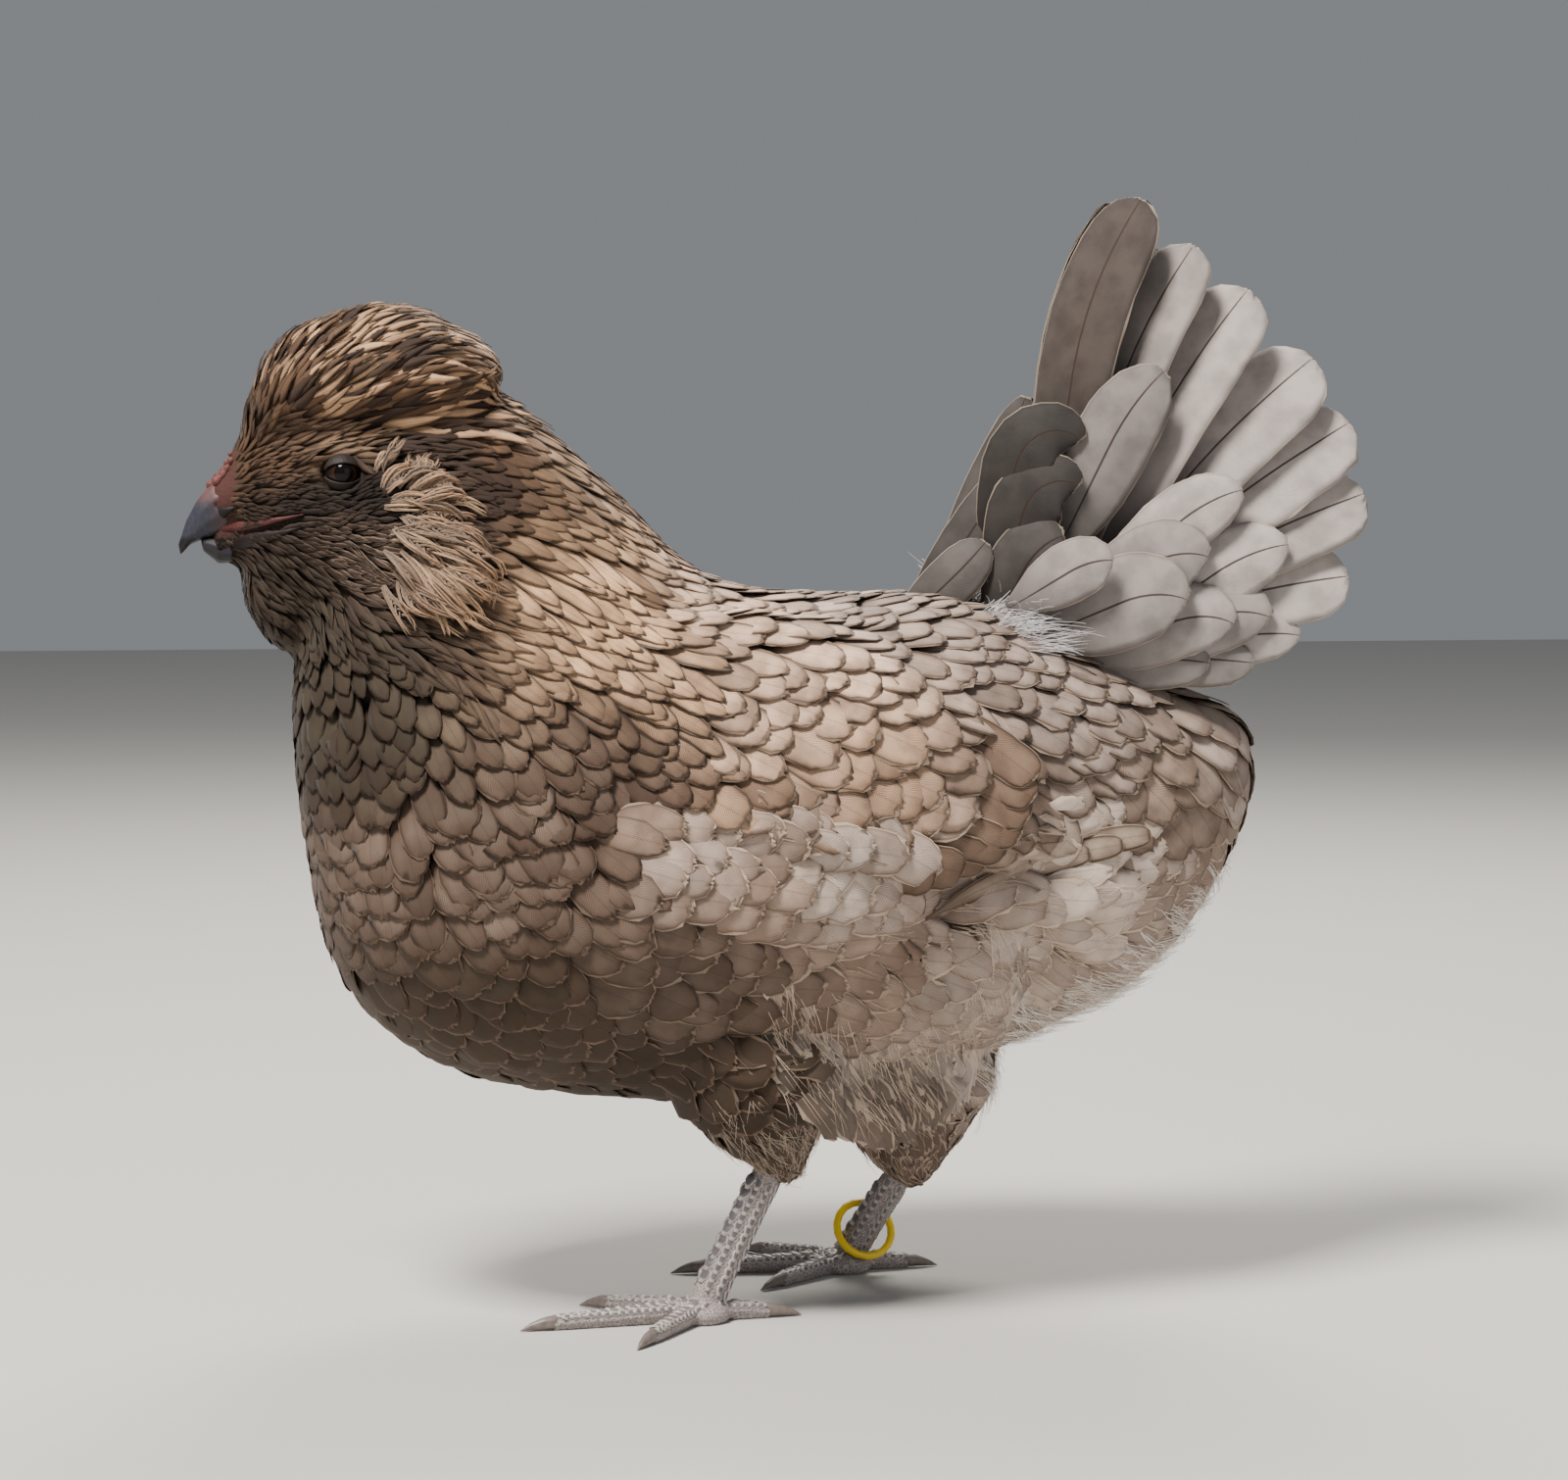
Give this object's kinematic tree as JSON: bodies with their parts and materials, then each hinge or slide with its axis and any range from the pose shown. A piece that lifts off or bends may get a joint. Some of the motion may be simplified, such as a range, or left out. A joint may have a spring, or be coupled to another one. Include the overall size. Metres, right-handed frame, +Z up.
{
  "type": "araucana chicken",
  "caption": "Life-size still model of a standing araucana hen with crest, muffs, beard, folded wings, raised fanned tail and a yellow leg ring.",
  "frame": {"origin": "centre of the footprint of the model's box, on the floor", "axes": "the bird faces -Y, its left side is +X and +Z is up"},
  "size_m": [0.157, 0.3881, 0.3666],
  "materials": {
    "neck_plumage": "matt brown hackle feathers with golden tan centres and dark edges",
    "body_plumage": "matt taupe feathers with thin darker edges",
    "crest_plumage": "matt brown feathers streaked with dark brown and tan",
    "muff_plumage": "matt wispy sandy feathers",
    "tail_plumage": "soft satin grey feathers with thin dark shafts",
    "scaled_skin": "slate scutes outlined in pale grey",
    "horn": "smooth slate horn",
    "eye": "wet dark eye",
    "leg_ring": "smooth yellow plastic"
  },
  "bodies": {
    "root": {"head": "neck_plumage", "neck": "neck_plumage", "torso": "body_plumage", "crest": "crest_plumage", "muff_left": "muff_plumage", "muff_right": "muff_plumage", "beard": "muff_plumage", "eye_left": "eye", "eye_right": "eye", "bill_upper": "horn", "bill_lower": "horn", "wing_left": "body_plumage", "wing_right": "body_plumage", "tail": "tail_plumage", "thigh_left": "body_plumage", "thigh_right": "body_plumage", "shank_left": "scaled_skin", "shank_right": "scaled_skin", "toe_left_1": "scaled_skin", "toe_left_2": "scaled_skin", "toe_left_3": "scaled_skin", "toe_left_4": "scaled_skin", "toe_right_1": "scaled_skin", "toe_right_2": "scaled_skin", "toe_right_3": "scaled_skin", "toe_right_4": "scaled_skin", "claw_left_1": "horn", "claw_left_2": "horn", "claw_left_3": "horn", "claw_left_4": "horn", "claw_right_1": "horn", "claw_right_2": "horn", "claw_right_3": "horn", "claw_right_4": "horn", "leg_ring": "leg_ring"}
  },
  "joints": []
}
